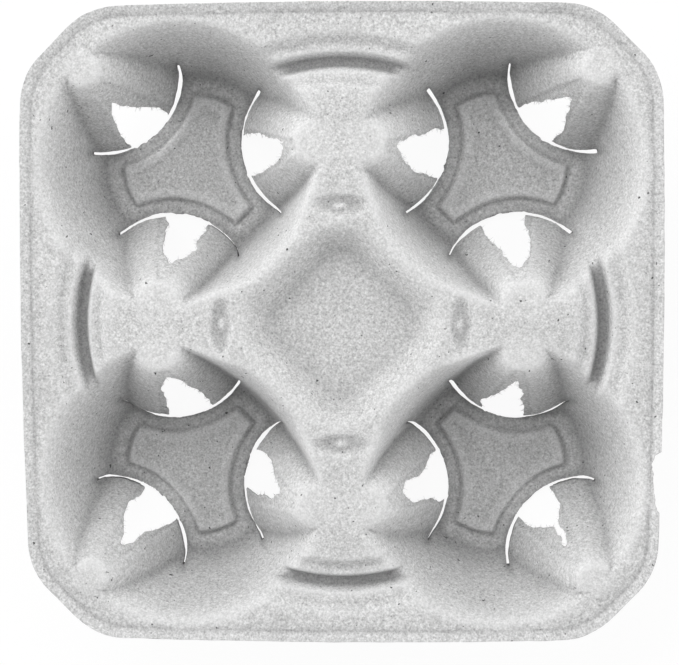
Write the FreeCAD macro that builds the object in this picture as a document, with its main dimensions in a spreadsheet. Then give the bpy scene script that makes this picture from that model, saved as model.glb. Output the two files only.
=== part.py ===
"""Moulded pulp cup carrier for four cups: one thin sheet, pressed in one piece.

The top surface and the underside are two versions of the same space above the
carrier, one wall thickness apart.  The sheet is what lies between them inside
the outline.  One quarter (+X, +Y) is made and mirrored to the other three; the
slits, the torn windows and the broken edge are cut last, each in its own place.
All sizes are in mm and degrees.  Z is up, undersides of the well floors at 0.
"""
import FreeCAD, Part
import Sketcher
import math
import os
import random

Vector = FreeCAD.Vector

SIZES = {
    "wall": 1.8,
    "height": 45.0,
    "half_width": 108.0,
    "side_bow": 1.3,
    "corner_leg": 24.0,
    "corner_radius": 20.0,
    "margin": 2.0,
    "lip_rise": 1.2,
    "lip_width": 3.4,
    "well_offset": 53.6,
    "well_top_radius": 46.8,
    "well_floor_radius": 33.0,
    "inner_shift": 26.0,
    "foot_radius": 3.0,
    "valley_radius": 4.0,
    "edge_radius": 3.6,
    "tongue_base_radius": 28.8,
    "tongue_distance": 46.0,
    "tongue_spread": 125.0,
    "corner_nose_radius": 6.5,
    "side_nose_radius": 8.0,
    "ridge_distance": 38.0,
    "ridge_lean": 4.0,
    "bowl_side": 28.2,
    "bowl_end": 33.0,
    "bowl_depth": 9.0,
    "bowl_slope": 8.0,
    "bowl_corner_radius": 5.0,
    "bowl_foot_radius": 4.0,
    "bowl_edge_radius": 3.0,
    "trough_centre": 18.0,
    "trough_half_angle": 40.0,
    "trough_edge": 10.0,
    "outer_bank": 3.0,
    "outer_ledge": 3.6,
    "outer_wall": 1.2,
    "trough_floor": 3.2,
    "inner_wall": 1.4,
    "inner_ledge": 3.4,
    "inner_bank": 2.2,
    "trough_depth": 8.0,
    "ledge_depth": 2.6,
    "dimple_distance": 40.6,
    "dimple_half_length": 9.0,
    "dimple_half_width": 3.6,
    "dimple_depth": 1.5,
    "pad_radius": 25.0,
    "pad_gap": 4.2,
    "pad_rise": 1.6,
    "pad_border": 3.4,
    "pad_sink": 0.6,
    "slit_width": 1.5,
    "slit_half_angle": 51.0,
    "tear_narrowing": 4.0,
    "tear_roughness": 0.7,
    "broken_depth": 3.6,
    "broken_start": 43.0,
    "broken_length": 18.5,
}

# The stepped section of a side trough, from the side inwards: the run of each
# stretch, and how far below the deck it ends.
TROUGH_STEPS = (
    ("outer_bank", "ledge_depth"),
    ("outer_ledge", "ledge_depth"),
    ("outer_wall", "trough_depth"),
    ("trough_floor", "trough_depth"),
    ("inner_wall", "ledge_depth"),
    ("inner_ledge", "ledge_depth"),
    ("inner_bank", None),
)

# Each torn window by well (signs of X and Y) and tongue: the tear's nearest
# distance to the tongue's axis, and the angles of its two sides at the foot.
WINDOWS = {
    (-1, 1): {"Corner": (13, -22, 15), "Left": (11.5, -17, 17), "Lower": (13, -13, 19)},
    (1, 1): {"Corner": (13, -19, 19), "Left": (11.5, -19, 20), "Lower": (11.5, -16, 20)},
    (-1, -1): {"Corner": (13, -16, 19), "Left": (14.5, -20, 13), "Lower": (10, -14, 22)},
    (1, -1): {"Corner": (13, -18, 17), "Left": (13.5, -20, 20), "Lower": (12, -16, 19)},
}

doc = FreeCAD.newDocument("CupCarrier")
table = doc.addObject("Spreadsheet::Sheet", "Sizes")
for row, (alias, value) in enumerate(SIZES.items(), start=1):
    table.set("A%d" % row, alias)
    table.set("B%d" % row, str(value))
    table.setAlias("B%d" % row, alias)
doc.recompute()

# How far past a hollow's own size its edge is looked for.
SEARCH = 7.0
# How far a cutting tool reaches past what it cuts.
PAST = 2.0

# Levels and slopes that follow from the sizes.
DECK = "height - lip_rise"
FLOOR = "wall"
DEPTH = "( height - lip_rise - wall )"


def size(alias):
    """The value of a named size in the table."""
    return float(table.get(alias))


def deck_level():
    """The height of the flat deck between the wells."""
    return size("height") - size("lip_rise")


def formula(text):
    """Put the table's name before every size named in an expression."""
    return " ".join("Sizes." + word if word in SIZES else word for word in text.split())


def bind(obj, **expressions):
    """Tie properties of an object to expressions in the named sizes."""
    for prop, text in expressions.items():
        obj.setExpression(prop, formula(text))
    return obj


def place(obj, x="0", y="0", z="0", turn=None):
    """Tie an object's position, and its turn about Z, to the named sizes."""
    for axis, text in zip("xyz", (x, y, z)):
        obj.setExpression("Placement.Base." + axis, formula(text))
    if turn is not None:
        obj.Placement.Rotation = FreeCAD.Rotation(Vector(0, 0, 1), 1)
        obj.setExpression("Placement.Rotation.Angle", formula(turn))
    return obj


def fuse(name, *parts):
    """Join objects into one."""
    obj = doc.addObject("Part::MultiFuse", name)
    obj.Shapes = list(parts)
    return obj


def cut(name, base, tool):
    """Take one object away from another."""
    obj = doc.addObject("Part::Cut", name)
    obj.Base = base
    obj.Tool = tool
    return obj


def common(name, *parts):
    """Keep what all the objects share."""
    obj = doc.addObject("Part::MultiCommon", name)
    obj.Shapes = list(parts)
    return obj


def rounded(name, base, wanted):
    """Round the edges of base by what wanted(shape, edge) gives for each."""
    doc.recompute()
    shape = base.Shape
    radii = [wanted(shape, edge) for edge in shape.Edges]
    chosen = [(i, radius, radius) for i, radius in enumerate(radii, start=1) if radius]
    if not chosen:
        raise RuntimeError(name + " found no edge to round")
    obj = doc.addObject("Part::Fillet", name)
    obj.Base = base
    obj.Edges = chosen
    doc.recompute()
    if obj.Shape.isNull() or not obj.Shape.isValid():
        raise RuntimeError(name + " could not be rounded")
    return obj


def at_level(edge, height):
    """Tell whether an edge lies level at a height."""
    box = edge.BoundBox
    return box.ZLength < 1e-3 and abs(box.ZMin - height) < 1e-3


def upright(edge):
    """Tell whether an edge is a vertical straight line."""
    box = edge.BoundBox
    return box.XLength < 1e-3 and box.YLength < 1e-3


def reach(edge, x, y):
    """The largest distance in plan from a point to an edge's ends and middle."""
    first, last = edge.FirstParameter, edge.LastParameter
    points = [edge.valueAt(p) for p in (first, (first + last) / 2, last)]
    return max(math.hypot(p.x - x, p.y - y) for p in points)


def is_valley(shape, edge):
    """Tell whether an edge lies between a well's wall and a tongue."""
    faces = shape.ancestorsOfType(edge, Part.Face)
    cones = [face.Surface for face in faces if isinstance(face.Surface, Part.Cone)]
    if len(cones) != 2:
        return False
    return (cones[0].Apex.z > 0) != (cones[1].Apex.z > 0)


def outline(name, half, leg):
    """One quarter of the outline: sides bowed out, corner cut off slantwise."""
    sketch = doc.addObject("Sketcher::SketchObject", name)
    reach_out = size("half_width")
    side = reach_out - size("corner_leg")
    bow = size("side_bow")
    radius = (side ** 2 + bow ** 2) / (2 * bow)
    sweep = math.asin(side / radius)
    up = Vector(0, 0, 1)
    right = Part.Circle(Vector(reach_out - radius, 0, 0), up, radius)
    top = Part.Circle(Vector(0, reach_out - radius, 0), up, radius)
    corners = (
        Vector(0, 0, 0),
        Vector(reach_out, 0, 0),
        Vector(reach_out - bow, side, 0),
        Vector(side, reach_out - bow, 0),
        Vector(0, reach_out, 0),
    )
    sketch.addGeometry(Part.LineSegment(corners[0], corners[1]))
    sketch.addGeometry(Part.ArcOfCircle(right, 0, sweep))
    sketch.addGeometry(Part.LineSegment(corners[2], corners[3]))
    sketch.addGeometry(Part.ArcOfCircle(top, math.pi / 2 - sweep, math.pi / 2))
    sketch.addGeometry(Part.LineSegment(corners[4], corners[0]))
    joins = ((0, 2, 1, 1), (1, 2, 2, 1), (2, 2, 3, 1), (3, 2, 4, 1), (4, 2, 0, 1), (0, 1, -1, 1))
    for join in joins:
        sketch.addConstraint(Sketcher.Constraint("Coincident", *join))
    sketch.addConstraint(Sketcher.Constraint("Horizontal", 0))
    sketch.addConstraint(Sketcher.Constraint("Vertical", 4))
    sketch.addConstraint(Sketcher.Constraint("PointOnObject", 1, 3, -1))
    sketch.addConstraint(Sketcher.Constraint("PointOnObject", 3, 3, -2))
    measures = (
        ("DistanceX", (-1, 1, 0, 2), reach_out, half),
        ("DistanceY", (-1, 1, 3, 2), reach_out, half),
        ("DistanceX", (-1, 1, 1, 2), reach_out - bow, half + " - side_bow"),
        ("DistanceY", (-1, 1, 1, 2), side, half + " - " + leg),
        ("DistanceX", (-1, 1, 2, 2), side, half + " - " + leg),
        ("DistanceY", (-1, 1, 2, 2), reach_out - bow, half + " - side_bow"),
    )
    for kind, where, value, text in measures:
        number = sketch.addConstraint(Sketcher.Constraint(kind, *where, value))
        sketch.setExpression("Constraints[%d]" % number, formula(text))
    return sketch


def plate(name, half, leg, bottom, top, corner):
    """A quarter plate of the outline between two levels, its corners rounded."""
    sketch = outline(name + "Outline", half, leg)
    place(sketch, z=bottom)
    solid = doc.addObject("Part::Extrusion", name + "Block")
    solid.Base = sketch
    solid.DirMode = "Custom"
    solid.Dir = Vector(0, 0, 1)
    solid.Solid = True
    bind(solid, LengthFwd="( " + top + " ) - ( " + bottom + " )")

    def at_corner(shape, edge):
        point = edge.Vertexes[0].Point
        return corner if upright(edge) and min(point.x, point.y) > corner else None

    return rounded(name, solid, at_corner)


def grown(offset, slope):
    """How far a wall with a slope moves level when it is offset square to itself."""
    return "%s / cos( atan( %s ) )" % (offset, slope)


def wall_cone(name, offset, floor_radius, top_radius, where):
    """The inside of a well's wall, a cone that widens upwards, grown by offset."""
    slope = "( %s - ( %s ) ) / %s" % (top_radius, floor_radius, DEPTH)
    cone = doc.addObject("Part::Cone", name)
    bind(
        cone,
        Radius1="%s - %s * %s + %s" % (floor_radius, offset, slope, grown(offset, slope)),
        Radius2="%s + ( 1 - %s ) * %s + %s" % (top_radius, offset, slope, grown(offset, slope)),
        Height=DEPTH + " + 1",
    )
    return place(cone, where, where, FLOOR + " - " + offset, turn="45")


def tongue_cone(name, offset, nose_radius, direction):
    """A tongue that stands in a well, a cone that narrows upwards, shrunk by offset."""
    slope = "( tongue_base_radius - %s ) / %s" % (nose_radius, DEPTH)
    cone = doc.addObject("Part::Cone", name)
    bind(
        cone,
        Radius1="tongue_base_radius + ( 1 + %s ) * %s - %s" % (offset, slope, grown(offset, slope)),
        Radius2="%s - ( 2 - %s ) * %s - %s" % (nose_radius, offset, slope, grown(offset, slope)),
        Height=DEPTH + " + 3",
    )
    x = "well_offset + tongue_distance * cos( %s )" % direction
    y = "well_offset + tongue_distance * sin( %s )" % direction
    return place(cone, x, y, FLOOR + " - 1 - " + offset, turn=direction)


# The three tongues of a well: name, nose size, direction from the well's middle.
TONGUES = (
    ("Corner", "corner_nose_radius", "45 deg"),
    ("Left", "side_nose_radius", "( 45 + tongue_spread ) * 1 deg"),
    ("Lower", "side_nose_radius", "( 45 - tongue_spread ) * 1 deg"),
)


def wedge(name, offset, half, turn):
    """A four-sided bowl with sloping sides under the deck, grown by offset."""
    slope = "bowl_slope / bowl_depth"
    low = "%s - bowl_slope - %s * %s + %s" % (half, offset, slope, grown(offset, slope))
    high = "%s + 2 * %s + %s" % (half, slope, grown(offset, slope))
    solid = doc.addObject("Part::Wedge", name)
    bind(
        solid,
        Xmin="0 - ( %s )" % low, Xmax=low, Zmin="0 - ( %s )" % low, Zmax=low,
        X2min="0 - ( %s )" % high, X2max=high, Z2min="0 - ( %s )" % high, Z2max=high,
        Ymin="0", Ymax="bowl_depth + %s + 2" % offset,
    )
    place(solid, z="%s - bowl_depth - %s" % (DECK, offset))
    spin = FreeCAD.Rotation(Vector(0, 0, 1), turn)
    stand = FreeCAD.Rotation(Vector(1, 0, 0), 90)
    solid.Placement.Rotation = spin.multiply(stand)
    return solid


def bowl(name, offset, depth):
    """The sunk bowl in the middle: a square on its corner, the corners cut off."""
    body = common(
        name + "Sharp",
        wedge(name + "Sides", offset, "bowl_side", 45),
        wedge(name + "Ends", offset, "bowl_end", 0),
    )
    low = deck_level() - size("bowl_depth") - depth

    def slanted(shape, edge):
        long_enough = edge.BoundBox.ZLength > size("bowl_depth")
        return size("bowl_corner_radius") + depth if long_enough else None

    corners = rounded(name + "Corners", body, slanted)

    def foot(shape, edge):
        return size("bowl_foot_radius") + depth if at_level(edge, low) else None

    return rounded(name + "Hollow", corners, foot)


def trough(name, offset, depth, turn):
    """A stepped trough along the middle of one side, swept about its own centre."""
    sketch = doc.addObject("Sketcher::SketchObject", name + "Section")
    deck = deck_level()
    radius = size("half_width") - size("trough_edge") - size("trough_centre")
    spot = "half_width - trough_edge - trough_centre"
    rows = [(radius, spot, deck, DECK)]
    for run, drop in TROUGH_STEPS:
        radius -= size(run)
        spot += " - " + run
        level = DECK + " - " + drop if drop else DECK
        rows.append((radius, spot, deck - (size(drop) if drop else 0.0), level))
    rows.reverse()
    rows.append((rows[-1][0], rows[-1][1], deck + 3, DECK + " + 3"))
    rows.append((rows[0][0], rows[0][1], deck + 3, DECK + " + 3"))
    count = len(rows)
    for i, (x, _, y, _) in enumerate(rows):
        there = rows[(i + 1) % count]
        sketch.addGeometry(Part.LineSegment(Vector(x, y, 0), Vector(there[0], there[2], 0)))
    for i in range(count):
        sketch.addConstraint(Sketcher.Constraint("Coincident", i, 2, (i + 1) % count, 1))
    for i, (x, across, y, up) in enumerate(rows):
        for kind, value, text in (("DistanceX", x, across), ("DistanceY", y, up)):
            number = sketch.addConstraint(Sketcher.Constraint(kind, -1, 1, i, 1, value))
            sketch.setExpression("Constraints[%d]" % number, formula(text))
    axes = (Vector(0, 1, 0), Vector(0, 0, 1), Vector(1, 0, 0))
    sketch.Placement.Rotation = FreeCAD.Rotation(*axes, "XYZ")
    place(sketch, y="trough_centre")
    section = sketch
    if depth:
        section = doc.addObject("Part::Offset2D", name + "Grown")
        section.Source = sketch
        section.Join = "Intersection"
        bind(section, Value=offset)
    sweep = doc.addObject("Part::Revolution", name)
    sweep.Source = section
    sweep.Axis = Vector(0, 0, 1)
    sweep.Solid = True
    sweep.Symmetric = True
    sweep.setExpression("Base.y", formula("trough_centre"))
    bind(sweep, Angle="2 * trough_half_angle")
    if turn:
        sweep.Placement.Rotation = FreeCAD.Rotation(Vector(0, 0, 1), turn)
    return sweep


def pad(name, offset, border, low, high):
    """The three-armed shape of a well floor's raised pad, drawn in by border."""
    disc = doc.addObject("Part::Cylinder", name + "Disc")
    bind(disc, Radius="pad_radius - " + border, Height="%s - ( %s )" % (high, low))
    place(disc, "well_offset", "well_offset", low)
    bites = []
    for label, nose, direction in TONGUES:
        bite = doc.addObject("Part::Cylinder", name + label + "Bite")
        bind(
            bite,
            Radius="tongue_base_radius + pad_gap + " + border,
            Height="%s - ( %s ) + 2" % (high, low),
        )
        x = "well_offset + tongue_distance * cos( %s )" % direction
        y = "well_offset + tongue_distance * sin( %s )" % direction
        bites.append(place(bite, x, y, low + " - 1"))
    return cut(name, disc, fuse(name + "Bites", *bites))


def well(name, offset, depth):
    """The space inside one well, down to the floor, grown by offset."""
    name = name + "Well"
    outer = wall_cone(name + "Wall", offset, "well_floor_radius", "well_top_radius", "well_offset")
    top = "well_offset * sqrt( 2 ) - ridge_distance + inner_shift"
    shifted = "well_offset + inner_shift / sqrt( 2 )"
    inner = wall_cone(name + "Inner", offset, "( %s ) - ridge_lean" % top, "( %s )" % top, shifted)
    tongues = [
        tongue_cone(name + label + "Tongue", offset, nose, direction)
        for label, nose, direction in TONGUES
    ]
    sharp = cut(name + "Sharp", common(name + "Walls", outer, inner), fuse(name + "Tongues", *tongues))

    def valley(shape, edge):
        return size("valley_radius") + depth if is_valley(shape, edge) else None

    valleys = rounded(name + "Valleys", sharp, valley)
    floor = size("wall") - depth

    def foot(shape, edge):
        return size("foot_radius") + depth if at_level(edge, floor) else None

    space = rounded(name + "Feet", valleys, foot)
    rise = "wall + pad_rise - " + offset
    raised = pad(name + "Pad", offset, offset, "wall - 1 - " + offset, rise)
    if not depth:
        sunk = pad(name + "PadSink", offset, "pad_border", rise + " - pad_sink", rise + " + 1")
        raised = cut(name + "PadBorder", raised, sunk)
    return cut(name, space, raised)


def space_above(name, offset, depth):
    """All that is open above one quarter of the sheet, grown by offset."""
    slab = plate(
        name + "Slab",
        "half_width + margin",
        "( corner_leg + margin * ( 2 - sqrt( 2 ) ) )",
        DECK + " - " + offset,
        "height + 2",
        size("corner_radius") + size("margin"),
    )
    bottom = deck_level() - depth
    run = size("lip_width") + size("margin")
    rise = size("lip_rise") * run / size("lip_width")
    doc.recompute()
    edges = slab.Shape.Edges
    rim = [
        (i, rise, run) for i, edge in enumerate(edges, start=1)
        if at_level(edge, bottom) and min(edge.BoundBox.XMax, edge.BoundBox.YMax) > 1e-3
    ]
    lipped = doc.addObject("Part::Chamfer", name + "Lip")
    lipped.Base = slab
    lipped.Edges = rim
    hollow = bowl(name + "Bowl", offset, depth)
    sunk = fuse(name + "Sunk", lipped, well(name, offset, depth), hollow)

    def shoulder(shape, edge):
        if not at_level(edge, bottom):
            return None
        if reach(edge, 0, 0) < size("bowl_end") + SEARCH:
            return size("bowl_edge_radius") - depth
        middle = size("well_offset")
        if reach(edge, middle, middle) < size("well_top_radius") + SEARCH:
            return size("edge_radius") - depth
        return None

    soft = rounded(name + "Soft", sunk, shoulder)
    hollows = [trough(name + "TroughTop", offset, depth, 0)]
    hollows.append(trough(name + "TroughSide", offset, depth, -90))
    for label, x, y, turn in (
        ("Top", "0", "dimple_distance", "0"),
        ("Side", "dimple_distance", "0", "90"),
    ):
        dimple = doc.addObject("Part::Ellipsoid", name + "Dimple" + label)
        bind(
            dimple,
            Radius1="dimple_depth + " + offset,
            Radius2="dimple_half_length",
            Radius3="dimple_half_width",
        )
        place(dimple, x, y, DECK, turn=turn)
        hollows.append(dimple)
    return fuse(name, soft, *hollows)


above = space_above("Above", "0", 0.0)
below = space_above("Under", "wall", size("wall"))
blank = plate("Blank", "half_width", "corner_leg", "0 - 1", "height", size("corner_radius"))
quarter = cut("Quarter", common("Pressed", blank, below), above)
doc.recompute()


def mirrored(name, source, normal):
    """The mirror image of an object in the plane through Z square to normal."""
    image = doc.addObject("Part::Mirroring", name)
    image.Source = source
    image.Normal = normal
    return image


def slit(name, direction):
    """The curved slit along a tongue's foot, between it and the well's floor."""
    spread = "2 * slit_half_angle"
    start = "( %s ) + ( 180 - slit_half_angle ) * 1 deg" % direction
    x = "well_offset + tongue_distance * cos( %s )" % direction
    y = "well_offset + tongue_distance * sin( %s )" % direction
    outer = doc.addObject("Part::Cylinder", name + "Outer")
    bind(outer, Radius="tongue_base_radius", Height="height", Angle=spread)
    place(outer, x, y, "0 - 1", turn=start)
    inner = doc.addObject("Part::Cylinder", name + "Inner")
    bind(inner, Radius="tongue_base_radius - slit_width", Height="height + 2")
    place(inner, x, y, "0 - 2")
    return cut(name, outer, inner)


def torn_window(name, quadrant, heading, tear, chance):
    """The torn window in the front of one tongue, a ragged wedge seen from above.

    quadrant holds the signs of the well's X and Y, heading is the direction of
    the tongue in the quarter that was made, tear is the window's own shape, and
    chance gives the ragged edge.
    """
    foot = size("tongue_base_radius") - size("slit_width") / 2
    top, low, high = tear
    rough = size("tear_roughness")
    narrowing = size("tear_narrowing")
    steps = 7
    edge = []
    for side, far in ((-1, low), (1, high)):
        line = []
        for step in range(steps + 1):
            share = step / steps
            radius = foot + (top - foot) * share
            swing = chance.uniform(-1, 1) * rough * math.sin(math.pi * min(share + 0.15, 1.0))
            angle = far - side * narrowing * share + math.degrees(swing / radius)
            line.append((radius, angle))
        edge += line if side < 0 else line[::-1]
    edge += [(foot, high + (low - high) * step / steps) for step in range(1, steps)]
    axis = math.radians(heading)
    x = size("well_offset") + size("tongue_distance") * math.cos(axis)
    y = size("well_offset") + size("tongue_distance") * math.sin(axis)
    points = []
    for radius, angle in edge:
        way = axis + math.pi + math.radians(angle)
        point = (x + radius * math.cos(way), y + radius * math.sin(way))
        points.append(Vector(quadrant[0] * point[0], quadrant[1] * point[1], -1))
    shape = Part.Face(Part.makePolygon(points + points[:1]))
    window = doc.addObject("Part::Feature", name)
    window.Shape = shape.extrude(Vector(0, 0, size("height") + PAST))
    return window


slits = [slit(label + "Slit", direction) for label, nose, direction in TONGUES]
pierced = cut("Pierced", quarter, fuse("Slits", *slits))
half_sheet = fuse("HalfSheet", pierced, mirrored("LeftQuarter", pierced, Vector(1, 0, 0)))
half_sheet.Refine = True
whole = fuse("WholeSheet", half_sheet, mirrored("LowerHalf", half_sheet, Vector(0, 1, 0)))
whole.Refine = True

spread = size("tongue_spread")
headings = {"Corner": 45, "Left": 45 + spread, "Lower": 45 - spread}
chance = random.Random(4)
windows = []
for (sx, sy), tears in WINDOWS.items():
    for label, tear in tears.items():
        name = "Window%s%d%d" % (label, sx + 1, sy + 1)
        windows.append(torn_window(name, (sx, sy), headings[label], tear, chance))

# The broken edge on the right side: how far in and how far along each corner is.
nick = doc.addObject("Part::Feature", "BrokenEdge")
deep, start, length = size("broken_depth"), size("broken_start"), size("broken_length")
broken = (
    (-PAST, -3.5),
    (0.9, 0),
    (deep, 4),
    (0.7 * deep, length / 2),
    (0.6, length),
    (-PAST, length + PAST),
)
nick_points = [Vector(size("half_width") - into, -start - along, 0) for into, along in broken]
nick_face = Part.Face(Part.makePolygon(nick_points + nick_points[:1]))
nick.Shape = nick_face.extrude(Vector(0, 0, size("height") + PAST))

carrier = cut("Carrier", whole, fuse("Torn", nick, *windows))
carrier.Label = "cup_carrier"
doc.recompute()

for obj in doc.Objects:
    if "Invalid" in obj.State or "Error" in obj.State:
        raise RuntimeError(obj.Name + " is " + ", ".join(obj.State))
shape = carrier.Shape
if shape.isNull() or not shape.isValid() or len(shape.Solids) != 1:
    raise RuntimeError("the carrier is not one sound solid")
os.makedirs("parts", exist_ok=True)
shape.exportStep("parts/cup_carrier.step")
print("cup_carrier", round(shape.Volume), "mm3")
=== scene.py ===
"""A moulded pulp cup carrier for four cups, as an add-on that builds its look.

The form is one sheet, described from above as a height over the plan.  The
plan is cut into triangles between the outline and the twelve torn openings,
lifted to that height and given its thickness.  Sizes are in millimetres.
"""

import math

import bpy
import numpy as np
from mathutils import Matrix


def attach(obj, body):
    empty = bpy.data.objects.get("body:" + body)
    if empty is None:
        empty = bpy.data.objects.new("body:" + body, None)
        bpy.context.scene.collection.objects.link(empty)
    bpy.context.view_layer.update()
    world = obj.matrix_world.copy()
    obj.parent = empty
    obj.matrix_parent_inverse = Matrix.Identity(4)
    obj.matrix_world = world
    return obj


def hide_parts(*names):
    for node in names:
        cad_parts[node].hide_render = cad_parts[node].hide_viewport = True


bl_info = {
    "name": "Pulp Cup Carrier",
    "version": (1, 0, 0),
    "blender": (4, 5, 0),
    "location": "View3D > Sidebar > Cup Carrier",
    "description": "Builds a moulded pulp carrier for four cups and a plain stage",
    "category": "Add Mesh",
}

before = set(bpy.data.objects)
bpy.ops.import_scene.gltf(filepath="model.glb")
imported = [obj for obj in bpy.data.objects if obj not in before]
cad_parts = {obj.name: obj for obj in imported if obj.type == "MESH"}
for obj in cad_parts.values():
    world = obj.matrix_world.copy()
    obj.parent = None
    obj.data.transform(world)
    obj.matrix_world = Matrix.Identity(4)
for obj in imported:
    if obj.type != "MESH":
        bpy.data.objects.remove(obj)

MM = 0.001
# The deck's height, the floor's, half the side, how far each side bows in at
# its ends, and the leg of the cut corner.
DECK = 43.8
FLOOR = 1.8
HALF = 108.0
BOW = 1.3
CORNER_LEG = 24.0
OUTLINE_BLEND = 7.0
LIP_RISE = 1.2
LIP_WIDTH = 3.3
# Depth and half width of the crease along the lip's foot.
LIP_CREASE = (0.4, 0.6)
# A well's middle from the centre lines, then its radius at the deck and floor.
WELL = 53.6
WELL_TOP = 46.8
WELL_FLOOR = 33.0
# The flatter wall to the middle: how far its centre is moved out, how far its
# top lies from the middle of the tray, and how far it leans.
INNER_SHIFT = 26.0
RIDGE = 35.0
RIDGE_LEAN = 8.0
# A tongue is a cone: its radius at the floor, and its axis from the well's.
TONGUE_FOOT = 28.8
TONGUE_AWAY = 46.0
# A tongue's direction from the well's middle, and the radius of its nose.
TONGUES = {"corner": (45.0, 6.5), "left": (170.0, 8.0), "lower": (-80.0, 8.0)}
# The slit at a tongue's foot: its width, and how far it runs to each side.
SLIT = 1.5
SLIT_ANGLE = 51.0
PAD_RADIUS = 25.0
PAD_REACH = 33.6
PAD_RISE = 1.6
PAD_BORDER = 3.4
PAD_SINK = 0.6
PAD_GROOVE = 0.35
PAD_GROOVE_HALF = 0.55
# The raised disc on a corner tongue's nose: radius, rise, width of its edge.
DISC = (6.8, 0.35, 0.45)
# Nearest a torn edge comes to its tongue's axis.
TEAR_NEAREST = 8.0
# The webs beside the torn openings: how far below the tongue, how far past the
# opening, and half their width at three distances from the tongue's axis.
WEB_DROP = 1.3
WEB_PAST = 0.9
WEB_AWAY = (6.5, 13.0, 25.0)
WEB_HALF = (1.6, 5.0, 9.8)
WEB_START = 7.0
# Painted shade in the creases and painted highlight on the crests: reach of the two looks at a
# crease, and the depth that counts as sharpest.
CREASE_NEAR = (1.1, 1.1)
CREASE_FAR = (4.5, 3.2)
CREASE_PROBE = 0.4
# How much paler a tongue's nose is painted, a painted highlight.
NOSE_PAINTED_HIGHLIGHT = 0.45
# Strength and reach of the painted shade at each end of a slit.
SLIT_END_PAINTED_SHADE = (0.9, 1.5)
# Noises as height, size of a bump and seed.
UNEVEN = ((0.12, 9.0, 1), (0.06, 3.1, 2))
RAGGED = ((0.5, 1.7, 5), (0.3, 0.8, 6))
WAVY_EDGE = (0.12, 6.0, 7)
SLIT_OPEN = (0.66, 0.5, 7.0, 9)
# How wide in plan, for each unit of steepness, the roundings between faces are.
FOOT_BLEND = 2.0
VALLEY_BLEND = 2.4
SHOULDER_BLEND = 2.6
CREST_BLEND = 4.4
SADDLE_BLEND = 6.5
STEEP = 4.0
# How far along a crest its own rounding holds, and where it fades out.
CREST_LENGTH = 34.0
CREST_FADE = 20.0
# Heights over which a tongue and the inner wall take over from the wall.
TAKEOVER = 8.0
INNER_WALL_BLEND = 5.0
# The arc troughs: their centre from the middle, how far they spread to each
# side, and their section as radius and drop.
TROUGH_CENTRE = 18.0
TROUGH_SPREAD = 0.84
TROUGH_SECTION = (
    (60.0, 0.0), (62.0, 0.0), (64.2, -2.6), (67.6, -2.6), (69.0, -8.0),
    (72.2, -8.0), (73.4, -2.6), (77.0, -2.6), (80.0, 0.0), (82.0, 0.0),
)
BOWL_SIDE = 28.2
BOWL_END = 33.0
BOWL_DEPTH = 9.6
BOWL_SLOPE = 8.0
BOWL_BLEND = 3.0
# The dimples and the nub in each: place, then depth and half sizes.
DIMPLE = 40.6
DIMPLE_DEPTH = 2.3
DIMPLE_HALF = (10.0, 3.8)
NUB_RISE = 2.0
NUB_HALF = (2.4, 1.4)
NUB_SHIFT = 0.4
# The faint knob between two wells: rise, place and half size.
KNOB = (0.25, 52.0, 2.2)
# The plan's first cells, its coarsest triangle and its most rounds of halving.
PLAN_CELLS = 18
PLAN_PAST = 4.0
COARSEST = 9.0
COARSEST_OUTSIDE = 4.0
HALVINGS = 26
WELL_OUTSIDE = -0.4
# Where in a triangle its flatness is tried, as shares of its corners.
PROBES = (
    (0, 0.5, 0.5), (0.5, 0.5, 0), (0.5, 0, 0.5), (0.34, 0.33, 0.33), (0.1, 0.45, 0.45),
)
# The ball that is rolled under the top: its rings and points on a ring.
BALL_RINGS = (0.35, 0.65, 0.88, 1.0)
BALL_TURNS = 12
THINNEST = 0.3
# Noises of the pulp as grains per metre, detail, roughness and seed.
PULP_NOISES = {
    "fine": (1500.0, 3.0, 0.6, 1.0),
    "coarse": (760.0, 4.0, 0.7, 2.0),
    "clouds": (55.0, 4.0, 0.55, 3.0),
    "grit": (640.0, 1.0, 0.4, 4.0),
    "rare": (170.0, 1.0, 0.4, 5.0),
}
GRAIN_SHADES = (0.5, 1.4)
CLOUD_SHADES = (1.82, 2.06)
# How far the painted shade and painted highlight go, and how pale the painted highlight is.
SHADE_AND_HIGHLIGHT_SHARE = 0.5
PAINTED_HIGHLIGHT_FACTOR = 1.3
PULP_BUMP = (0.55, 0.0005)
LAMP_PLACE = (-0.35, 0.95, 0.95)
LAMP_SIZE = 1.2
CAMERA_PLACE = (0.0254748, 0.0589046, 0.6903607)
CAMERA_TURNS = ((0.0941587, "X"), (-0.0395722, "Y"), (0.0040852, "Z"))
CAMERA_LENS = 102.444
CAMERA_SENSOR = 36.0


def soft_min(a, b, width):
    """The lower of two heights, blended over a width."""
    share = np.clip(0.5 + 0.5 * (b - a) / width, 0.0, 1.0)
    return b * (1 - share) + a * share - width * share * (1 - share)


def soft_max(a, b, width):
    """The higher of two heights, blended over a width."""
    return -soft_min(-a, -b, width)


def step(value):
    """A smooth step from 0 to 1 while value goes from 0 to 1."""
    t = np.clip(value, 0.0, 1.0)
    return t * t * (3 - 2 * t)


def smoothed(knots, blur):
    """A section through knots with its corners softened, ready to be looked up."""
    where = np.arange(knots[0][0], knots[-1][0], 0.05)
    height = np.interp(where, [k[0] for k in knots], [k[1] for k in knots])
    reach = int(blur * 3 / 0.05)
    kernel = np.exp(-0.5 * (np.arange(-reach, reach + 1) * 0.05 / blur) ** 2)
    padded = np.pad(height, reach, mode="edge")
    return where, np.convolve(padded, kernel / kernel.sum(), mode="valid")


def tongue_axis(heading):
    """The plan position of a tongue's axis in the +X +Y quarter."""
    way = math.radians(heading)
    return WELL + TONGUE_AWAY * math.cos(way), WELL + TONGUE_AWAY * math.sin(way)


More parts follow.
